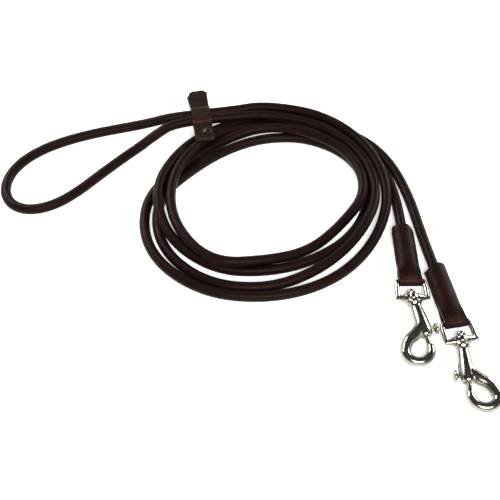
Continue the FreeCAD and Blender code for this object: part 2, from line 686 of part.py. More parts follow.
def cord():
    keep("cord_handle_loop", cord_tube("handle_loop", LOOP_ROUTE))
    keep("cord_lead_a", cord_tube("lead_a", LEAD_A_ROUTE))
    keep("cord_lead_b", cord_tube("lead_b", LEAD_B_ROUTE))
    coil_solid()


# ---------------------------------------------------------------- the whole leash

def check():
    doc.recompute()
    for thing in doc.Objects:
        if "Invalid" in thing.State or "Error" in thing.State:
            raise RuntimeError("failed: %s %s" % (thing.Label, thing.State))
    for label, thing in nodes.items():
        if thing.Shape.isNull() or not thing.Shape.isValid():
            raise RuntimeError("bad shape: " + label)


def write():
    os.makedirs("parts", exist_ok=True)
    for label, thing in nodes.items():
        thing.Shape.exportStep("parts/%s.step" % label)
        box = thing.Shape.BoundBox
        print("%-22s solids %2d  volume %9.1f  x %.1f..%.1f  y %.1f..%.1f  z %.2f..%.2f"
              % (label, len(thing.Shape.Solids), thing.Shape.Volume, box.XMin, box.XMax,
                 box.YMin, box.YMax, box.ZMin, box.ZMax))


cord()
for snap_side, turned_over in (("a", 0.0), ("b", 180.0)):
    snap(snap_side, turned_over)
    sleeve(snap_side)
    sleeve_stitching(snap_side)
keeper_strap()
keeper_rivet()
keeper_stitching()
check()
write()
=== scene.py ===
import json
import math

import bmesh
import bpy
from mathutils import Matrix, Vector, noise


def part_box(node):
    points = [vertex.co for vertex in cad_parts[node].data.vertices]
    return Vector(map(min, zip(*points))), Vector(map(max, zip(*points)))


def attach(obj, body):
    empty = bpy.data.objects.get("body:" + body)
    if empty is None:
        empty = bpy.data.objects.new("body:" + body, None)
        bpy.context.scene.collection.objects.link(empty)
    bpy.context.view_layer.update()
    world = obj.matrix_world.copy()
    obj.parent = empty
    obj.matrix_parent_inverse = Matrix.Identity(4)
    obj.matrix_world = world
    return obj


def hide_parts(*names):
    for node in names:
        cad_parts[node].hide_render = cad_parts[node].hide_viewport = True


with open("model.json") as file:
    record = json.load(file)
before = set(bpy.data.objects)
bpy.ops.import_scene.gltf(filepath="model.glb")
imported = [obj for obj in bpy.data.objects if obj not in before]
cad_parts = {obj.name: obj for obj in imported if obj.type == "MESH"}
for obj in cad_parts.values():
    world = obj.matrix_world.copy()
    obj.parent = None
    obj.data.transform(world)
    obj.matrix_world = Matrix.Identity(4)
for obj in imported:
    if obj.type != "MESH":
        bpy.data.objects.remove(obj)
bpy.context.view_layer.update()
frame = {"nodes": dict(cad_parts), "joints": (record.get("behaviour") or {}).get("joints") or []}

MM = 0.001
JOINTS = {joint["name"]: joint for joint in frame["joints"]}
CORD_BODY = "cord_and_sleeves"
NOISE_SEED = 7
noise.seed_set(NOISE_SEED)

# ---------------------------------------------------------------- camera

VIEW_CENTRE = Vector((-0.057, -0.012, 0.0))
VIEW_DISTANCE = 0.662
VIEW_ELEVATION = math.radians(53.0)
LENS = 63.07
SENSOR = 36.0


def make_camera():
    camera_data = bpy.data.cameras.new("view_camera")
    camera_data.lens = LENS
    camera_data.sensor_width = SENSOR
    camera = bpy.data.objects.new("view_camera", camera_data)
    bpy.context.scene.collection.objects.link(camera)
    back = Vector((0.0, -math.cos(VIEW_ELEVATION), math.sin(VIEW_ELEVATION)))
    camera.location = VIEW_CENTRE + back * VIEW_DISTANCE
    camera.rotation_euler = (math.pi / 2 - VIEW_ELEVATION, 0.0, 0.0)
    bpy.context.scene.camera = camera


make_camera()

# ---------------------------------------------------------------- the cord's route

CORD_DIAMETER = 0.008

# Free stretches: x, y, z of the cord's line in metres.
LOOP_ROUTE = [
    (-0.0721, 0.1269, 0.0104),
    (-0.1226, 0.1194, 0.0104),
    (-0.1415, 0.1166, 0.0062),
    (-0.1610, 0.1136, 0.0040),
    (-0.1830, 0.1078, 0.0040),
    (-0.2040, 0.1005, 0.0040),
    (-0.2235, 0.0909, 0.0040),
    (-0.2400, 0.0774, 0.0040),
    (-0.2496, 0.0612, 0.0040),
    (-0.2512, 0.0437, 0.0040),
    (-0.2440, 0.0295, 0.0040),
    (-0.2295, 0.0234, 0.0040),
    (-0.2110, 0.0280, 0.0040),
    (-0.1938, 0.0416, 0.0040),
    (-0.1772, 0.0604, 0.0040),
    (-0.1612, 0.0778, 0.0040),
    (-0.1474, 0.0912, 0.0044),
    (-0.1348, 0.1014, 0.0076),
    (-0.1206, 0.1112, 0.0116),
    (-0.0709, 0.1186, 0.0116),
]
LEAD_A_ROUTE = [
    (0.0315, 0.0880, 0.0040),
    (0.0432, 0.0784, 0.0040),
    (0.0512, 0.0636, 0.0040),
    (0.0562, 0.0425, 0.0040),
    (0.05843, 0.01548, 0.0056),
    (0.05922, -0.0220, 0.0056),
]
LEAD_B_ROUTE = [
    (0.0195, 0.1100, 0.0040),
    (0.0363, 0.0992, 0.0040),
    (0.0492, 0.0850, 0.0040),
    (0.0583, 0.0680, 0.0040),
    (0.0645, 0.0492, 0.0040),
    (0.0692, 0.0285, 0.0040),
    (0.0724, 0.0050, 0.0042),
    (0.076332, -0.021156, 0.0056),
    (0.085262, -0.069335, 0.0056),
]

# The coil's loose turns: radius and height in millimetres at every twelfth of a turn, clockwise
# from the far side.
COIL_CENTRE = Vector((-0.044, 0.036, 0.0))
STATION_STEP = math.radians(30.0)
SPLINE_PULL = 0.25
COIL_A = [
    (92.0, 12.5), (93.8, 12.5), (93.7, 12.5), (93.8, 9.0), (90.2, 4.0), (90.4, 4.0),
    (92.2, 4.0), (98.9, 4.0), (102.0, 4.0), (93.2, 4.0), (72.0, 4.0), (69.8, 4.0),
    (72.3, 9.2), (71.8, 12.4), (77.6, 12.2), (76.4, 11.5), (61.0, 6.0), (58.8, 4.0),
    (62.4, 9.2), (77.4, 12.4), (75.6, 12.0), (74.6, 12.0), (73.5, 12.5), (77.2, 7.5),
    (80.0, 4.0), (84.6, 4.0),
]
COIL_B = [
    (82.2, 12.2), (82.6, 12.2), (85.5, 12.0), (85.0, 11.5), (79.0, 11.0), (78.0, 6.0),
    (84.2, 4.0), (91.0, 4.0), (91.8, 4.0), (83.4, 4.0), (63.5, 4.0), (59.4, 4.0),
    (63.8, 4.0), (73.0, 4.0), (81.2, 4.0), (79.6, 4.0), (73.5, 4.0), (67.8, 4.0),
    (69.0, 4.0), (77.2, 4.0), (83.9, 8.6), (84.8, 13.0), (82.2, 9.0), (84.8, 4.0),
    (88.3, 4.0), (93.0, 4.0),
]


def outward_share(step):
    """How far a control point has to stand out from an arc, for its spline to run along the arc."""
    return 1.0 / (1.0 - SPLINE_PULL + SPLINE_PULL * math.cos(step))


def coil_points(stations):
    """Control points whose spline passes near each station's radius."""
    outward = outward_share(STATION_STEP)
    points = []
    for number, (radius, height) in enumerate(stations):
        angle = math.pi / 2 - STATION_STEP * number
        reach = radius * MM * outward
        step = Vector((reach * math.cos(angle), reach * math.sin(angle), height * MM))
        points.append(tuple(COIL_CENTRE + step))
    return points


def cord_route():
    """From inside sleeve a, round the coil, the handle loop and the coil again, into sleeve b."""
    strand_a = LEAD_A_ROUTE[::-1] + coil_points(COIL_A)[::-1]
    strand_b = coil_points(COIL_B) + LEAD_B_ROUTE
    return strand_a + LOOP_ROUTE + strand_b


def smooth_curve(name, points, radii):
    """An open quadratic spline from its first point to its last, as thick as radii says, in metres."""
    curve = bpy.data.curves.new(name, "CURVE")
    curve.dimensions = "3D"
    spline = curve.splines.new("NURBS")
    spline.points.add(len(points) - 1)
    for control, point, radius in zip(spline.points, points, radii):
        control.co = (*point, 1.0)
        control.radius = radius
    spline.order_u = 3
    spline.use_endpoint_u = True
    spline.resolution_u = 14
    curve.bevel_depth = 1.0
    curve.bevel_resolution = 7
    curve.use_fill_caps = True
    piece = bpy.data.objects.new(name, curve)
    bpy.context.scene.collection.objects.link(piece)
    return piece


def make_cord():
    points = cord_route()
    piece = smooth_curve("cord", points, [CORD_DIAMETER / 2] * len(points))
    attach(piece, CORD_BODY)
    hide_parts("cord_handle_loop", "cord_coil", "cord_lead_a", "cord_lead_b")
    return piece


cord_piece = make_cord()

# ---------------------------------------------------------------- node helpers


def new_material(name, roughness, metallic=0.0):
    material = bpy.data.materials.new(name)
    material.use_nodes = True
    shader = material.node_tree.nodes["Principled BSDF"]
    shader.inputs["Roughness"].default_value = roughness
    shader.inputs["Metallic"].default_value = metallic
    return material, material.node_tree, shader


def add_node(tree, kind, settings=None, **inputs):
    node = tree.nodes.new(kind)
    for name, value in (settings or {}).items():
        setattr(node, name, value)
    for name, value in inputs.items():
        socket = node.inputs[name.replace("_", " ")]
        if isinstance(value, bpy.types.NodeSocket):
            tree.links.new(value, socket)
        else:
            socket.default_value = value
    return node


def object_coordinates(tree):
    return add_node(tree, "ShaderNodeTexCoord").outputs["Object"]


def ramp(tree, factor, stops):
    """Colours or greys between positions; stops are (position, value)."""
    node = add_node(tree, "ShaderNodeValToRGB", Fac=factor)
    elements = node.color_ramp.elements
    while len(elements) < len(stops):
        elements.new(0.5)
    for element, (position, value) in zip(elements, stops):
        element.position = position
        colour = value if isinstance(value, tuple) else (value, value, value)
        element.color = (*colour, 1.0)
    return node.outputs["Color"]


def mix_colour(tree, factor, first, second, blend="MIX"):
    node = tree.nodes.new("ShaderNodeMix")
    node.data_type = "RGBA"
    node.blend_type = blend
    for index, value in ((0, factor), (6, first), (7, second)):
        socket = node.inputs[index]
        if isinstance(value, bpy.types.NodeSocket):
            tree.links.new(value, socket)
        else:
            socket.default_value = value if index == 0 else (*value, 1.0)
    return node.outputs[2]


def bump(tree, shader, heights):
    """Chains bumps: (height socket, strength, distance)."""
    normal = None
    for height, strength, distance in heights:
        node = add_node(tree, "ShaderNodeBump", Height=height, Strength=strength, Distance=distance)
        if normal is not None:
            tree.links.new(normal, node.inputs["Normal"])
        normal = node.outputs["Normal"]
    tree.links.new(normal, shader.inputs["Normal"])


def attribute(tree, name):
    return add_node(tree, "ShaderNodeAttribute", {"attribute_name": name}).outputs["Fac"]


# ---------------------------------------------------------------- materials

LEATHER_DARK = (0.0060, 0.0028, 0.0023)
LEATHER_MIDDLE = (0.0125, 0.0054, 0.0043)
# Paler leather for the mask: partly wear, partly painted highlight.
LEATHER_WORN_AND_SHEEN = (0.080, 0.040, 0.030)
EDGE_DARK = (0.006, 0.0032, 0.0028)
EDGE_PALE = (0.017, 0.0088, 0.007)
THREAD_DARK = (0.005, 0.0024, 0.0020)
THREAD_PALE = (0.014, 0.0066, 0.0052)
LEATHER_SHEEN_TINT = (1.0, 0.62, 0.52, 1.0)
VALLEY_SHADE = 0.62
WEAR_AND_SHEEN_SMOOTHER = -0.4


def leather(name, dark, middle, worn_and_sheen, pebble, roughness):
    """Oiled leather: pebbled grain, fine pores, mottled dye, and a paler, smoother mask of wear and painted
    highlight.
    """
    material, tree, shader = new_material(name, roughness)
    place = object_coordinates(tree)
    mottle = add_node(tree, "ShaderNodeTexNoise", Vector=place, Scale=90.0, Detail=4.0, Roughness=0.6)
    dye = ramp(tree, mottle.outputs["Fac"], [(0.32, dark), (0.68, middle)])
    cells = add_node(tree, "ShaderNodeTexVoronoi", {"feature": "DISTANCE_TO_EDGE"}, Vector=place,
                     Scale=1.0 / pebble, Randomness=1.0)
    valleys = ramp(tree, cells.outputs["Distance"], [(0.0, 0.0), (0.28, 1.0)])
    grained = mix_colour(tree, valleys, tuple(VALLEY_SHADE * channel for channel in dark), dye)
    patches = add_node(tree, "ShaderNodeTexNoise", Vector=place, Scale=420.0, Detail=3.0, Roughness=0.55)
    rub_and_sheen = ramp(tree, patches.outputs["Fac"], [(0.35, 0.35), (0.65, 1.0)])
    # The mask is painted highlight on the sleeves' folds and crests and the keeper's crease, plus paler edges
    # and bends.
    wear_and_sheen_here = add_node(tree, "ShaderNodeMath", {"operation": "MULTIPLY"})
    tree.links.new(attribute(tree, "wear_and_sheen"), wear_and_sheen_here.inputs[0])
    tree.links.new(rub_and_sheen, wear_and_sheen_here.inputs[1])
    colour = mix_colour(tree, wear_and_sheen_here.outputs[0], grained, worn_and_sheen)
    tree.links.new(colour, shader.inputs["Base Color"])
    gloss = add_node(tree, "ShaderNodeTexNoise", Vector=place, Scale=260.0, Detail=2.0)
    dull = ramp(tree, gloss.outputs["Fac"], [(0.3, roughness - 0.07), (0.7, roughness + 0.09)])
    smoothed = add_node(tree, "ShaderNodeMath", {"operation": "MULTIPLY_ADD"})
    tree.links.new(wear_and_sheen_here.outputs[0], smoothed.inputs[0])
    smoothed.inputs[1].default_value = WEAR_AND_SHEEN_SMOOTHER
    tree.links.new(dull, smoothed.inputs[2])
    tree.links.new(smoothed.outputs[0], shader.inputs["Roughness"])
    shader.inputs["Specular IOR Level"].default_value = 0.095
    shader.inputs["Specular Tint"].default_value = LEATHER_SHEEN_TINT
    pores = add_node(tree, "ShaderNodeTexNoise", Vector=place, Scale=3200.0, Detail=2.0)
    creases = add_node(tree, "ShaderNodeTexNoise", Vector=place, Scale=520.0, Detail=4.0, Roughness=0.65)
    bump(tree, shader, [(valleys, 0.34, 0.00007), (creases.outputs["Fac"], 0.4, 0.00022),
                        (pores.outputs["Fac"], 0.2, 0.00004)])
    return material


def cut_edge(name):
    """The burnished cut edge of a strap: darker, waxed, with fibres along it."""
    material, tree, shader = new_material(name, 0.38)
    place = object_coordinates(tree)
    fibres = add_node(tree, "ShaderNodeTexNoise", Vector=place, Scale=1400.0, Detail=3.0, Roughness=0.7)
    shade = ramp(tree, fibres.outputs["Fac"], [(0.3, EDGE_DARK), (0.7, EDGE_PALE)])
    tree.links.new(shade, shader.inputs["Base Color"])
    shader.inputs["Specular IOR Level"].default_value = 0.15
    bump(tree, shader, [(fibres.outputs["Fac"], 0.45, 0.0001)])
    return material


def thread_material():
    """Waxed dark thread of twisted plies."""
    material, tree, shader = new_material("waxed_thread", 0.5)
    place = object_coordinates(tree)
    plies = add_node(tree, "ShaderNodeTexWave", {"bands_direction": "DIAGONAL"}, Vector=place,
                     Scale=700.0, Distortion=1.5, Detail=2.0)
    shade = ramp(tree, plies.outputs["Fac"], [(0.2, THREAD_DARK), (0.8, THREAD_PALE)])
    tree.links.new(shade, shader.inputs["Base Color"])
    shader.inputs["Specular IOR Level"].default_value = 0.1
    bump(tree, shader, [(plies.outputs["Fac"], 0.5, 0.0001)])
    return material


def polished_metal(name, low, high, roughness, bite):
    """Plated metal: uneven tone, hairlines from handling, slightly uneven polish and orange peel."""
    material, tree, shader = new_material(name, roughness, 1.0)
    place = object_coordinates(tree)
    tone = add_node(tree, "ShaderNodeTexNoise", Vector=place, Scale=160.0, Detail=4.0, Roughness=0.6)
    shade = ramp(tree, tone.outputs["Fac"], [(0.3, low), (0.7, high)])
    tree.links.new(shade, shader.inputs["Base Color"])
    smear = add_node(tree, "ShaderNodeTexNoise", Vector=place, Scale=700.0, Detail=5.0, Roughness=0.7)
    polish = ramp(tree, smear.outputs["Fac"], [(0.3, roughness * 0.7), (0.75, roughness * 1.7)])
    tree.links.new(polish, shader.inputs["Roughness"])
    stretch = add_node(tree, "ShaderNodeMapping", Vector=place, Scale=(5200.0, 420.0, 5200.0))
    hairlines = add_node(tree, "ShaderNodeTexNoise", Vector=stretch.outputs["Vector"], Scale=1.0, Detail=2.0)
    peel = add_node(tree, "ShaderNodeTexNoise", Vector=place, Scale=520.0, Detail=2.0)
    bump(tree, shader, [(peel.outputs["Fac"], bite, 0.0002), (hairlines.outputs["Fac"], bite * 0.4, 0.00003)])
    return material


CORD_LEATHER = leather("cord_leather", LEATHER_DARK, LEATHER_MIDDLE, LEATHER_WORN_AND_SHEEN, 0.00055, 0.42)
SLEEVE_LEATHER = leather("sleeve_leather", (0.0066, 0.0024, 0.0020), (0.0130, 0.0048, 0.0039),
                         (0.105, 0.045, 0.034), 0.0007, 0.44)
KEEPER_LEATHER = leather("keeper_leather", (0.0100, 0.0040, 0.0030), (0.0200, 0.0080, 0.0058),
                         (0.110, 0.055, 0.036), 0.0008, 0.48)
STRAP_EDGE = cut_edge("strap_edge")
THREAD = thread_material()
NICKEL = polished_metal("polished_nickel", (0.29, 0.27, 0.23), (0.42, 0.39, 0.335), 0.15, 0.12)
DARK_BRASS = polished_metal("dark_rivet", (0.022, 0.015, 0.012), (0.050, 0.034, 0.026), 0.36, 0.25)
SPRING_STEEL = polished_metal("spring_steel", (0.30, 0.30, 0.31), (0.42, 0.42, 0.43), 0.28, 0.1)


def dress(piece, *materials):
    piece.data.materials.clear()
    for material in materials:
        piece.data.materials.append(material)


dress(cord_piece, CORD_LEATHER)

# ---------------------------------------------------------------- mesh helpers


def mesh_piece(name, points, faces, smooth=True):
    mesh = bpy.data.meshes.new(name)
    mesh.from_pydata([tuple(point) for point in points], [], faces)
    builder = bmesh.new()
    builder.from_mesh(mesh)
    bmesh.ops.recalc_face_normals(builder, faces=builder.faces)
    builder.to_mesh(mesh)
    builder.free()
    if smooth:
        mesh.shade_smooth()
    piece = bpy.data.objects.new(name, mesh)
    bpy.context.scene.collection.objects.link(piece)
    return piece


# Stores the mask of wear and painted highlight that the leather shaders read.
def set_wear_and_sheen(piece, values):
    layer = piece.data.attributes.new("wear_and_sheen", "FLOAT", "POINT")
    layer.data.foreach_set("value", values)


def baked(piece):
    """Applies a piece's modifiers, and turns a curve into a mesh."""
    graph = bpy.context.evaluated_depsgraph_get()
    graph.update()
    mesh = bpy.data.meshes.new_from_object(piece.evaluated_get(graph))
    name = piece.name
    bpy.data.objects.remove(piece)
    mesh.name = name
    result = bpy.data.objects.new(name, mesh)
    bpy.context.scene.collection.objects.link(result)
    return result


def joined(name, pieces):
    """One mesh piece from several."""
    builder = bmesh.new()
    for piece in pieces:
        mesh = piece.data
        mesh.transform(piece.matrix_world)
        builder.from_mesh(mesh)
        bpy.data.objects.remove(piece)
    bmesh.ops.remove_doubles(builder, verts=builder.verts, dist=0.001 * MM)
    bmesh.ops.recalc_face_normals(builder, faces=builder.faces)
    mesh = bpy.data.meshes.new(name)
    builder.to_mesh(mesh)
    builder.free()
    mesh.shade_smooth()
    result = bpy.data.objects.new(name, mesh)
    bpy.context.scene.collection.objects.link(result)
    return result


def turned(name, frame_matrix, profile, axis="Y", segments=56):
    """A closed lathe form: profile is (place, radius) in mm along a local axis, from end to end."""
    points = []
    faces = []
    for place, radius in profile:
        for number in range(segments):
            angle = 2 * math.pi * number / segments
            across = radius * math.cos(angle)
            up = radius * math.sin(angle)
            local = (across, place, up) if axis == "Y" else (place, across, up)
            points.append(frame_matrix @ (Vector(local) * MM))
    for row in range(len(profile) - 1):
        for number in range(segments):
            following = (number + 1) % segments
            faces.append((row * segments + number, row * segments + following,
                          (row + 1) * segments + following, (row + 1) * segments + number))
    last = (len(profile) - 1) * segments
    faces.append(tuple(range(segments)))
    faces.append(tuple(last + number for number in range(segments)))
    return mesh_piece(name, points, faces)


def rounded_profile(start, end, radius, fillet, steps=4):
    """A straight bar's profile with rounded rims at both ends."""
    profile = [(start, radius - fillet)]
    for number in range(1, steps + 1):
        angle = math.pi / 2 * number / steps
        profile.append((start + fillet * (1 - math.cos(angle)), radius - fillet * (1 - math.sin(angle))))
    other_end = [(start + end - place, width) for place, width in profile[::-1]]
    return profile + other_end


def swept(name, frame_matrix, stations):
    """A round form along a smooth line: stations are (x, y, z, radius) in mm."""
    points = [tuple(frame_matrix @ (Vector(station[:3]) * MM)) for station in stations]
    radii = [station[3] * MM for station in stations]
    return baked(smooth_curve(name, points, radii))


def cast_together(name, pieces, voxel, smoothing):
    """Melts overlapping closed forms into one casting with soft inner corners."""
    piece = joined(name, pieces)
    melt = piece.modifiers.new("melt", "REMESH")
    melt.mode = "VOXEL"
    melt.voxel_size = voxel
    melt.use_smooth_shade = True
    polish = piece.modifiers.new("polish", "SMOOTH")
    polish.factor = 0.5
    polish.iterations = smoothing
    return baked(piece)


def drilled(piece, cutters):
    for cutter in cutters:
        cut = piece.modifiers.new("drill", "BOOLEAN")
        cut.operation = "DIFFERENCE"
        cut.solver = "MANIFOLD"
        cut.object = cutter
    result = baked(piece)
    for cutter in cutters:
        bpy.data.objects.remove(cutter)
    result.data.shade_smooth()
    result.data.set_sharp_from_angle(angle=math.radians(38.0))
    return result


def mount(piece, body, material_slot, materials, *nodes):
    dress(piece, *materials)
    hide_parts(*nodes)
    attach(piece, body)
    return piece


# ---------------------------------------------------------------- local frames


def axes_frame(origin, x_axis, y_axis):
    x_axis = Vector(x_axis).normalized()
    y_axis = Vector(y_axis)
    y_axis = (y_axis - x_axis * y_axis.dot(x_axis)).normalized()
    z_axis = x_axis.cross(y_axis)
    turn = Matrix((x_axis, y_axis, z_axis)).transposed().to_4x4()
    return Matrix.Translation(origin) @ turn


def middle(node):
    low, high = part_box(node)
    return (low + high) / 2


def eye_frame(side):
    """Origin at the snap's pivot, X along the eye's bars, Y towards the sleeve."""
    pivot = Vector(JOINTS["snap_%s_swivel" % side]["pos_m"])
    tilt = JOINTS["eye_%s_tilt" % side]
    return axes_frame(pivot, tilt["axis"], Vector(tilt["pos_m"]) - pivot)


def snap_frame(side):
    """Origin at the snap's pivot, Y back along its barrel, X towards its thumb knob."""
    swivel = JOINTS["snap_%s_swivel" % side]
    pivot = Vector(swivel["pos_m"])
    back = -Vector(swivel["axis"]).normalized()
    to_knob = middle("snap_thumb_knob_" + side) - pivot
    to_knob = to_knob - back * to_knob.dot(back)
    return axes_frame(pivot, to_knob, back)


KEEPER_ROLL = math.radians(-8.0)
RIVET_PLACE = Vector((2.6, -22.0, -0.4)) * MM


def keeper_frame():
    """Origin midway between the two strands, X along them, Y towards the tails."""
    along = Vector(JOINTS["keeper_slide"]["axis"]).normalized()
    yaw = math.atan2(along.y, along.x)
    turn = Matrix.Rotation(yaw, 4, "Z") @ Matrix.Rotation(KEEPER_ROLL, 4, "X")
    origin = middle("keeper_rivet_post") - turn @ RIVET_PLACE
    return Matrix.Translation(origin) @ turn


# ---------------------------------------------------------------- leather straps


def strap(name, frame_matrix, rows, columns, thickness, leather_material):
    """A strap from its middle surface: each row is (place, paleness), two functions of u, which runs from
    -1 to 1 across the strap. place gives x, y, z in mm; paleness is the mask of wear and painted highlight."""
    points = []
    wear_and_sheen = []
    row_count = len(rows)
    for place, wear_and_sheen_at in rows:
        for column in range(columns + 1):
            across = 2 * column / columns - 1
            local = place(across)
            wobble = noise.noise_vector(local * 0.21) * 0.16 + noise.noise_vector(local * 0.7) * 0.05
            points.append(frame_matrix @ ((local + wobble) * MM))
            wear_and_sheen.append(wear_and_sheen_at(across))
    faces = []
    stride = columns + 1
    for row in range(row_count - 1):
        for column in range(columns):
            corner = row * stride + column
            faces.append((corner, corner + 1, corner + stride + 1, corner + stride))
    piece = mesh_piece(name, points, faces)
    set_wear_and_sheen(piece, wear_and_sheen)
    dress(piece, leather_material, STRAP_EDGE)
    thicken = piece.modifiers.new("thickness", "SOLIDIFY")
    thicken.thickness = thickness * MM
    thicken.offset = 0.0
    thicken.use_even_offset = True
    thicken.material_offset_rim = 1
    soften = piece.modifiers.new("edges", "BEVEL")
    soften.width = 0.32 * MM
    soften.segments = 2
    soften.limit_method = "ANGLE"
    soften.angle_limit = math.radians(50.0)
    finer = piece.modifiers.new("finer", "SUBSURF")
    finer.levels = 1
    finer.render_levels = 1
    return piece


def smooth_step(value, low, high):
    share = min(1.0, max(0.0, (value - low) / (high - low)))
    return share * share * (3 - 2 * share)


def soft_max(first, second, softness):
    return 0.5 * (first + second + math.sqrt((first - second) ** 2 + softness ** 2))


SLEEVE_LEATHER_MM = 1.6
SLEEVE_HALF = 7.5
SLEEVE_SPREAD = 0.75
SLEEVE_TAIL = 64.1
BAR_PLACE = 15.1
BAR_TURN = 3.15
CORD_END = 26.0
# How far each corner of the tails is clipped: left and right of the upper and lower layer.
TAIL_CLIPS = {"a": ((0.9, 4.4), (2.2, 2.0)), "b": ((5.2, 1.4), (2.6, 1.2))}
CLIP_SLOPE = 0.85
SLEEVE_ROW_STEP = 0.85
FOLD_ROWS = 12
# Strength of the painted highlight across the top of the fold round the eye's bar.
FOLD_HIGHLIGHT = 0.34
LAYER_GAP = 0.06
SLEEVE_STITCHES = 10
SLEEVE_STITCH_STEP = 3.4
SLEEVE_STITCH_LINE = 6.45
THREAD_PROUD = 0.02


def sleeve_height(x, y):
    """Height of the upper layer's middle surface over the cord's axis, in mm."""
    flat = SLEEVE_LEATHER_MM / 2 + LAYER_GAP
    wall = CORD_DIAMETER / MM / 2 + SLEEVE_LEATHER_MM / 2
    share = min(1.0, abs(x) / SLEEVE_HALF)
    body = flat + (wall - flat) * (1.0 - share ** 2.3) ** 0.85
    pinched = 2.6 + 0.9 * math.exp(-((x / 5.0) ** 2))
    settled = pinched + (body - pinched) * smooth_step(y, 20.0, CORD_END + 6.0)
    return BAR_TURN + (settled - BAR_TURN) * smooth_step(y, BAR_PLACE, 22.0)


def sleeve_rows(clips):
    """Rows of one strap: upper tail, round the eye's bar, lower tail."""
    rows = []
    row_count = int((SLEEVE_TAIL - BAR_PLACE) / SLEEVE_ROW_STEP) + 1
    places = [SLEEVE_TAIL - number * SLEEVE_ROW_STEP for number in range(row_count)]

    def spread(y):
        return SLEEVE_HALF + SLEEVE_SPREAD * smooth_step(-y, -52.0, -14.0)

    def layer(y, sign):
        left_clip, right_clip = clips[0] if sign > 0 else clips[1]
        left = spread(y) - CLIP_SLOPE * max(0.0, y - (SLEEVE_TAIL - left_clip))
        right = spread(y) - CLIP_SLOPE * max(0.0, y - (SLEEVE_TAIL - right_clip))

        def place(u):
            x = u * (right if u > 0 else left)
            return Vector((x, y, sign * sleeve_height(x, y)))

        def wear_and_sheen(u):
            # Paler where the strap turns round the bar: a painted highlight.
            rub_and_sheen = FOLD_HIGHLIGHT * math.exp(-(((y - 15.0) / 2.6) ** 2)) * (0.55 + 0.45 * math.cos(u * 2.4))
            # Paler along the ridge over the cord: a painted highlight. The edges are paler too.
            crest_highlight = 0.05 * math.exp(-((u / 0.3) ** 2)) * smooth_step(y, 28.0, 34.0)
            edge = 0.12 * smooth_step(abs(u), 0.9, 1.0)
            return rub_and_sheen + edge + crest_highlight if sign > 0 else edge
        return place, wear_and_sheen

    for y in places:
        rows.append(layer(y, 1))
    for number in range(1, FOLD_ROWS):
        angle = math.pi / 2 + math.pi * number / FOLD_ROWS

        def place(u, angle=angle):
            return Vector((u * spread(BAR_PLACE), BAR_PLACE + BAR_TURN * math.cos(angle),
                           BAR_TURN * math.sin(angle)))

        # Painted highlight on the upper half of the turn round the bar.
        def wear_and_sheen(u, angle=angle):
            return FOLD_HIGHLIGHT * max(0.0, math.sin(angle)) * (0.55 + 0.45 * math.cos(u * 2.4))
        rows.append((place, wear_and_sheen))
    for y in places[::-1]:
        rows.append(layer(y, -1))
    return rows


STITCH_PROFILE = [
    (-1.25, 0.06), (-1.15, 0.24), (-0.7, 0.33), (0.0, 0.36), (0.7, 0.33), (1.15, 0.24), (1.25, 0.06),
]
STITCH_HALF = 1.25
STITCH_SINK = 0.28
STITCH_FLATNESS = 0.8
STITCH_SIDES = 8


def stitches(name, frame_matrix, seats):
    """Short sunken threads; seats are (middle, direction, up) in mm."""
    points = []
    faces = []
    for seat, direction, up in seats:
        side = direction.cross(up)
        first = len(points)
        for step, radius in STITCH_PROFILE:
            sink = STITCH_SINK * (step / STITCH_HALF) ** 2
            for number in range(STITCH_SIDES):
                angle = 2 * math.pi * number / STITCH_SIDES
                local = seat + direction * step + side * (radius * math.cos(angle))
                local = local + up * (radius * STITCH_FLATNESS * math.sin(angle) - sink)
                points.append(frame_matrix @ (local * MM))
        for row in range(len(STITCH_PROFILE) - 1):
            corner = first + row * STITCH_SIDES
            above = corner + STITCH_SIDES
            for number in range(STITCH_SIDES):
                following = (number + 1) % STITCH_SIDES
                faces.append((corner + number, corner + following, above + following, above + number))
        last = first + (len(STITCH_PROFILE) - 1) * STITCH_SIDES
        faces.append(tuple(first + number for number in range(STITCH_SIDES)))
        faces.append(tuple(last + number for number in range(STITCH_SIDES)))
    return mesh_piece(name, points, faces)


def make_sleeve(side):
    placed = eye_frame(side)
    piece = strap("sleeve_%s_leather" % side, placed, sleeve_rows(TAIL_CLIPS[side]), 30, SLEEVE_LEATHER_MM,
                  SLEEVE_LEATHER)
    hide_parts("sleeve_" + side)
    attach(piece, CORD_BODY)
    seats = []
    for x_sign in (1, -1):
        for z_sign in (1, -1):
            for number in range(SLEEVE_STITCHES):
                y = CORD_END - 2.0 + number * SLEEVE_STITCH_STEP
                x = x_sign * SLEEVE_STITCH_LINE
                z = z_sign * (sleeve_height(x, y) + SLEEVE_LEATHER_MM / 2 + THREAD_PROUD)
                seats.append((Vector((x, y, z)), Vector((0, 1, 0)), Vector((0, 0, z_sign))))
    threads = stitches("sleeve_%s_stitches" % side, placed, seats)
    mount(threads, CORD_BODY, "thread", [THREAD], "sleeve_%s_stitching" % side)


KEEPER_LEATHER_MM = 1.8
KEEPER_HALF = 7.75
KEEPER_TAIL = 34.3
KEEPER_FOLD = -31.0
KEEPER_CLIP = 3.2
STRAND_OFFSET = 4.2
STRAND_CLEARANCE = 0.25
KEEPER_GAP = 0.05
KEEPER_CLIP_SLOPE = 0.9
KEEPER_ROW_STEP = 0.8
KEEPER_FOLD_ROWS = 8
UPPER_SHIFT = 0.4
LOWER_SHIFT = -1.3
LOWER_SHORT = 0.2
UPPER_LIFT = 0.9
LOWER_LIFT = 0.54
# Where the painted highlight line runs across the keeper.
CREASE_PLACE = -9.4
KEEPER_STITCHES = 4
KEEPER_STITCH_STEP = 3.4


def keeper_height(y):
    """Height of the upper layer's middle surface over the strands' axes, in mm."""
    closed = KEEPER_LEATHER_MM / 2 + KEEPER_GAP
    wall = CORD_DIAMETER / MM / 2 + STRAND_CLEARANCE + KEEPER_LEATHER_MM / 2
    beyond = max(0.0, abs(y) - STRAND_OFFSET)
    over = math.sqrt(max(0.0, wall * wall - beyond * beyond))
    return soft_max(closed, over, 1.2)


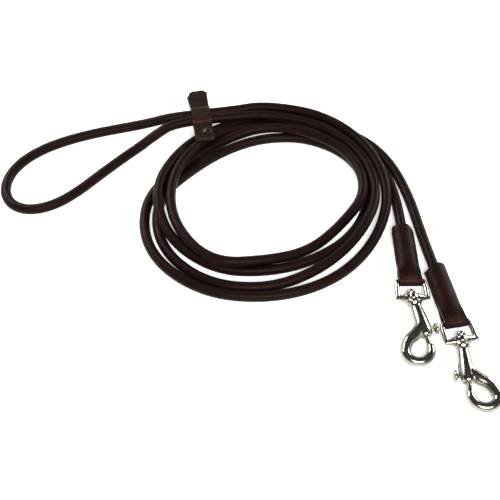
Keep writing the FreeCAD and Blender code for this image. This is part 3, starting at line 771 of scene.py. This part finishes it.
def keeper_rows():
    """Rows of one strap: upper tail, over the strands, round the near fold and back below."""
    rows = []
    count = int((KEEPER_TAIL - KEEPER_FOLD) / KEEPER_ROW_STEP)
    turn = KEEPER_LEATHER_MM / 2 + KEEPER_GAP
    fold_line = KEEPER_FOLD + turn + KEEPER_LEATHER_MM / 2
    places = [KEEPER_TAIL - number * KEEPER_ROW_STEP for number in range(count)]
    places = [place for place in places if place > fold_line]

    def layer(y, sign):
        slip = smooth_step(y, 12.0, 30.0)
        shift = slip * (UPPER_SHIFT if sign > 0 else LOWER_SHIFT)
        short = slip * (0.0 if sign > 0 else LOWER_SHORT)
        lift = slip * (UPPER_LIFT if sign > 0 else LOWER_LIFT)
        half_width = KEEPER_HALF - KEEPER_CLIP_SLOPE * max(0.0, y - (KEEPER_TAIL - KEEPER_CLIP))

        def place(u):
            return Vector((u * half_width + shift, y - short, sign * keeper_height(y) + lift))

        def wear_and_sheen(u):
            uneven = 0.5 + 0.5 * noise.noise((u * 3, y, 1))
            # A painted highlight along the crease where the strap bends down from the strands.
            crease_highlight = 0.55 * math.exp(-(((y - CREASE_PLACE) / 0.75) ** 2)) * uneven
            edge = 0.16 * smooth_step(abs(u), 0.88, 1.0)
            bend = 0.1 * math.exp(-(((abs(y) - 6.5) / 1.6) ** 2))
            return max(0.0, crease_highlight) + edge + bend
        return place, wear_and_sheen

    for y in places:
        rows.append(layer(y, 1))
    for number in range(1, KEEPER_FOLD_ROWS):
        angle = math.pi / 2 + math.pi * number / KEEPER_FOLD_ROWS

        def place(u, angle=angle):
            return Vector((u * KEEPER_HALF, fold_line + turn * math.cos(angle), turn * math.sin(angle)))
        rows.append((place, lambda u: 0.2))
    for y in places[::-1]:
        rows.append(layer(y, -1))
    return rows


def make_keeper():
    placed = keeper_frame()
    piece = strap("keeper_leather", placed, keeper_rows(), 24, KEEPER_LEATHER_MM, KEEPER_LEATHER)
    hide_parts("keeper_strap")
    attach(piece, "keeper")
    seats = []
    row = 2 * STRAND_OFFSET + CORD_DIAMETER / MM / 2
    for z_sign in (1, -1):
        for number in range(KEEPER_STITCHES):
            x = (number - (KEEPER_STITCHES - 1) / 2) * KEEPER_STITCH_STEP
            z = z_sign * (keeper_height(row) + KEEPER_LEATHER_MM / 2 + THREAD_PROUD)
            seats.append((Vector((x, row, z)), Vector((1, 0, 0)), Vector((0, 0, z_sign))))
    threads = stitches("keeper_stitches", placed, seats)
    mount(threads, "keeper", "thread", [THREAD], "keeper_stitching")


# ---------------------------------------------------------------- snaps

# Local places in millimetres: X towards the thumb knob, Y back along the barrel, from the pivot.
CASTING_VOXEL = 0.26 * MM
HOOK_RING = 9.3
HOOK_CENTRE = -41.2
RING_START = math.radians(186.0)
RING_STEP = math.radians(26.0)
RING_STOCK = (3.95, 3.8, 3.6, 3.45, 3.4, 3.4, 3.25)


def hook_line():
    """Out of the barrel, round the hook and up to its nose: x, y, z, radius in mm."""
    line = [
        (0.0, -13.0, 0.0, 3.9),
        (-0.3, -19.0, 0.0, 4.3),
        (-2.2, -24.6, 0.0, 4.5),
        (-7.6, -29.5, 0.0, 4.7),
        (-14.2, -33.2, 0.0, 4.3),
    ]
    reach = HOOK_RING * outward_share(RING_STEP)
    for number, radius in enumerate(RING_STOCK):
        angle = RING_START + RING_STEP * number
        line.append((-HOOK_RING + reach * math.cos(angle), HOOK_CENTRE + reach * math.sin(angle),
                     0.0, radius))
    line.append((0.2, -40.9, 0.0, 2.95))
    line.append((0.4, -38.9, 0.0, 2.45))
    return line


NOSE_LIP = [(-0.4, -41.6, 0.0, 2.2), (1.4, -40.6, 0.0, 1.9), (2.5, -39.6, 0.0, 1.3)]
BARREL_BREADTH = 1.12
BARREL_PROFILE = [
    (-3.1, 3.0), (-3.15, 4.3), (-3.5, 4.8), (-4.3, 4.95), (-5.2, 4.8), (-5.9, 4.3),
    (-6.8, 3.75), (-8.2, 3.7), (-11.0, 3.95), (-15.0, 4.35), (-20.0, 4.75), (-24.5, 4.9),
    (-28.6, 4.7), (-31.2, 4.2), (-32.1, 3.7), (-32.3, 2.6),
]
BORE_RADIUS = 1.88
BORE_ENDS = (-9.6, -39.0)
NOSE_SOCKET_ENDS = (-37.4, -40.9)
SLOT_RADIUS = 1.3
SLOT_CENTRES = (-27.6, -19.5)
SLOT_DEPTHS = (0.2, 7.0)
SLOT_SEGMENTS = 12
HOLE_SEGMENTS = 40


def round_cutter(name, placed, ends, radius):
    return turned(name, placed, [(place, radius) for place in ends], segments=HOLE_SEGMENTS)


def slot_cutter(placed):
    """A bar with round ends, which cuts the thumb knob's slot through the barrel's wall."""
    slot_low, slot_high = SLOT_CENTRES
    outline = []
    for centre, start in ((slot_high, 0.0), (slot_low, math.pi)):
        for number in range(SLOT_SEGMENTS + 1):
            angle = start + math.pi * number / SLOT_SEGMENTS
            outline.append((SLOT_RADIUS * math.cos(angle), centre + SLOT_RADIUS * math.sin(angle)))
    count = len(outline)
    points = [placed @ (Vector((x, y, z)) * MM) for x in SLOT_DEPTHS for z, y in outline]
    faces = [tuple(range(count)), tuple(range(count, 2 * count))]
    for number in range(count):
        following = (number + 1) % count
        faces.append((number, following, count + following, count + number))
    return mesh_piece("slot", points, faces, smooth=False)


def make_hook_body(side, placed):
    pieces = [
        turned("barrel", placed @ Matrix.Scale(BARREL_BREADTH, 4, (1, 0, 0)), BARREL_PROFILE),
        swept("hook_stock", placed, hook_line()),
        swept("nose_lip", placed, NOSE_LIP),
    ]
    body = cast_together("snap_hook_casting_" + side, pieces, CASTING_VOXEL, 10)
    bore = round_cutter("bore", placed, BORE_ENDS, BORE_RADIUS)
    socket = round_cutter("socket", placed, NOSE_SOCKET_ENDS, BORE_RADIUS)
    body = drilled(body, [bore, socket, slot_cutter(placed)])
    mount(body, "snap_" + side, "nickel", [NICKEL], "snap_hook_body_" + side)


EYE_HALF = [
    (1.5, 0.0, 0.0, 2.2),
    (7.4, 0.0, 0.0, 1.95),
    (10.75, 0.1, 0.0, 1.85),
    (10.55, 4.0, 0.0, 2.0),
    (10.5, 8.0, 0.0, 2.05),
    (10.2, 12.0, 0.0, 2.0),
    (9.1, 15.2, 0.0, 1.95),
    (5.2, 15.2, 0.0, 1.95),
]
EYE_BAR = [(0.0, 0.0, 0.0, 4.1), (3.4, 0.0, 0.0, 3.9), (6.4, 0.0, 0.0, 2.7), (9.6, 0.0, 0.0, 1.9),
           (12.4, 0.0, 0.0, 1.0)]
EYE_BOSS_ENDS = (-2.5, 2.3)
EYE_BOSS_RADIUS = 4.6
EYE_BOSS_ROUNDING = 1.1
EYE_HOLE_ENDS = (-4.5, 4.5)
EYE_HOLE_RADIUS = 2.45


def mirrored(stations):
    return [(-x, y, z, radius) for x, y, z, radius in stations[::-1]]


def make_eye(side, placed):
    pieces = [
        swept("eye_wire", placed, EYE_HALF + mirrored(EYE_HALF)),
        swept("eye_bar", placed, mirrored(EYE_BAR[1:]) + EYE_BAR),
        turned("eye_boss", placed, rounded_profile(*EYE_BOSS_ENDS, EYE_BOSS_RADIUS, EYE_BOSS_ROUNDING)),
    ]
    eye = cast_together("snap_eye_casting_" + side, pieces, CASTING_VOXEL, 6)
    eye = drilled(eye, [round_cutter("eye_hole", placed, EYE_HOLE_ENDS, EYE_HOLE_RADIUS)])
    mount(eye, "eye_" + side, "nickel", [NICKEL], "snap_eye_" + side)


STUD_SHANK = [(-9.0, 1.6), (-8.8, 1.85), (-3.2, 1.85), (1.6, 1.85)]
BALL_PLACE = 4.9
BALL_RADIUS = 3.3
BALL_FLATNESS = 0.8
BALL_START = math.radians(-56.0)
BALL_SPAN = math.radians(143.0)
BALL_ROWS = 16


def make_stud(side, placed):
    profile = list(STUD_SHANK)
    for number in range(1, BALL_ROWS + 1):
        angle = BALL_START + BALL_SPAN * number / BALL_ROWS
        profile.append((BALL_PLACE + BALL_RADIUS * BALL_FLATNESS * math.sin(angle),
                        BALL_RADIUS * math.cos(angle)))
    piece = turned("snap_stud_" + side, placed, profile)
    mount(piece, "snap_" + side, "nickel", [NICKEL], "snap_swivel_stud_" + side)


BOLT_ENDS = (-40.3, -22.6)
BOLT_RADIUS = 1.74
BOLT_ROUNDING = 0.4


def make_bolt(side, placed):
    rod = turned("snap_bolt_rod_" + side, placed, rounded_profile(*BOLT_ENDS, BOLT_RADIUS, BOLT_ROUNDING))
    mount(rod, "bolt_" + side, "nickel", [NICKEL], "snap_bolt_" + side)


KNOB_PLACE = Vector((0.0, -27.5, 0.0)) * MM
KNOB_PROFILE = [
    (0.0, 1.0), (5.2, 1.05), (6.2, 1.25), (6.9, 1.9), (7.3, 3.2), (7.6, 3.9), (8.05, 4.25),
    (8.6, 4.3), (9.1, 4.05), (9.45, 3.5), (9.8, 2.6), (10.05, 1.5), (10.15, 0.5),
]


def make_knob(side, placed):
    piece = turned("snap_knob_" + side, placed @ Matrix.Translation(KNOB_PLACE), KNOB_PROFILE, axis="X")
    mount(piece, "bolt_" + side, "nickel", [NICKEL], "snap_thumb_knob_" + side)


for leash_side in ("a", "b"):
    make_sleeve(leash_side)
    make_eye(leash_side, eye_frame(leash_side))
    snap_placed = snap_frame(leash_side)
    make_hook_body(leash_side, snap_placed)
    make_stud(leash_side, snap_placed)
    make_bolt(leash_side, snap_placed)
    make_knob(leash_side, snap_placed)
    dress(frame["nodes"]["snap_bolt_spring_" + leash_side], SPRING_STEEL)
make_keeper()
dress(frame["nodes"]["keeper_rivet_cap"], DARK_BRASS)
dress(frame["nodes"]["keeper_rivet_post"], DARK_BRASS)

# ---------------------------------------------------------------- floor and light


FLOOR_HALF = 4.0
FLOOR_PLACES = ((-1, -1), (1, -1), (1, 1), (-1, 1))
FLOOR_GLOW = 0.45
VIEW_TARGET = (-0.05, 0.0, 0.0)
# Each softbox: name, place, width, height and watts.
SOFTBOXES = [
    ("front", (0.2, -1.0, 1.2), 1.1, 0.7, 30.0),
    ("back_left", (-0.8, 0.75, 0.75), 0.8, 0.45, 15.0),
    ("back_right", (0.95, 0.6, 0.6), 0.5, 0.4, 8.0),
]
SKY_STOPS = [(0.0, 1.0), (0.22, 1.0), (0.42, 0.07), (0.8, 0.05), (1.0, 0.12)]


def make_floor():
    """A pale surface that glows a little, like a light table, so that shadows stay faint."""
    corners = [(FLOOR_HALF * x, FLOOR_HALF * y, 0.0) for x, y in FLOOR_PLACES]
    floor = mesh_piece("floor", corners, [(0, 1, 2, 3)], smooth=False)
    material, _, shader = new_material("pale_floor", 0.9)
    shader.inputs["Base Color"].default_value = (0.93, 0.93, 0.92, 1.0)
    shader.inputs["Specular IOR Level"].default_value = 0.1
    shader.inputs["Emission Color"].default_value = (1.0, 1.0, 1.0, 1.0)
    shader.inputs["Emission Strength"].default_value = FLOOR_GLOW
    dress(floor, material)


def make_light(name, place, width, height, watts):
    data = bpy.data.lights.new(name, "AREA")
    data.shape = "RECTANGLE"
    data.size = width
    data.size_y = height
    data.energy = watts
    lamp = bpy.data.objects.new(name, data)
    bpy.context.scene.collection.objects.link(lamp)
    lamp.location = place
    lamp.rotation_euler = (Vector(VIEW_TARGET) - Vector(place)).to_track_quat("-Z", "Y").to_euler()


def make_world():
    """A dark studio with a bright band round the horizon, so that the metal shows dark and bright."""
    world = bpy.data.worlds.new("studio")
    bpy.context.scene.world = world
    world.use_nodes = True
    tree = world.node_tree
    direction = add_node(tree, "ShaderNodeTexCoord").outputs["Generated"]
    height = add_node(tree, "ShaderNodeSeparateXYZ", Vector=direction).outputs["Z"]
    sky = ramp(tree, height, SKY_STOPS)
    tree.links.new(sky, tree.nodes["Background"].inputs["Color"])


make_floor()
make_world()
for softbox in SOFTBOXES:
    make_light(*softbox)
bpy.context.scene.view_settings.view_transform = "Standard"
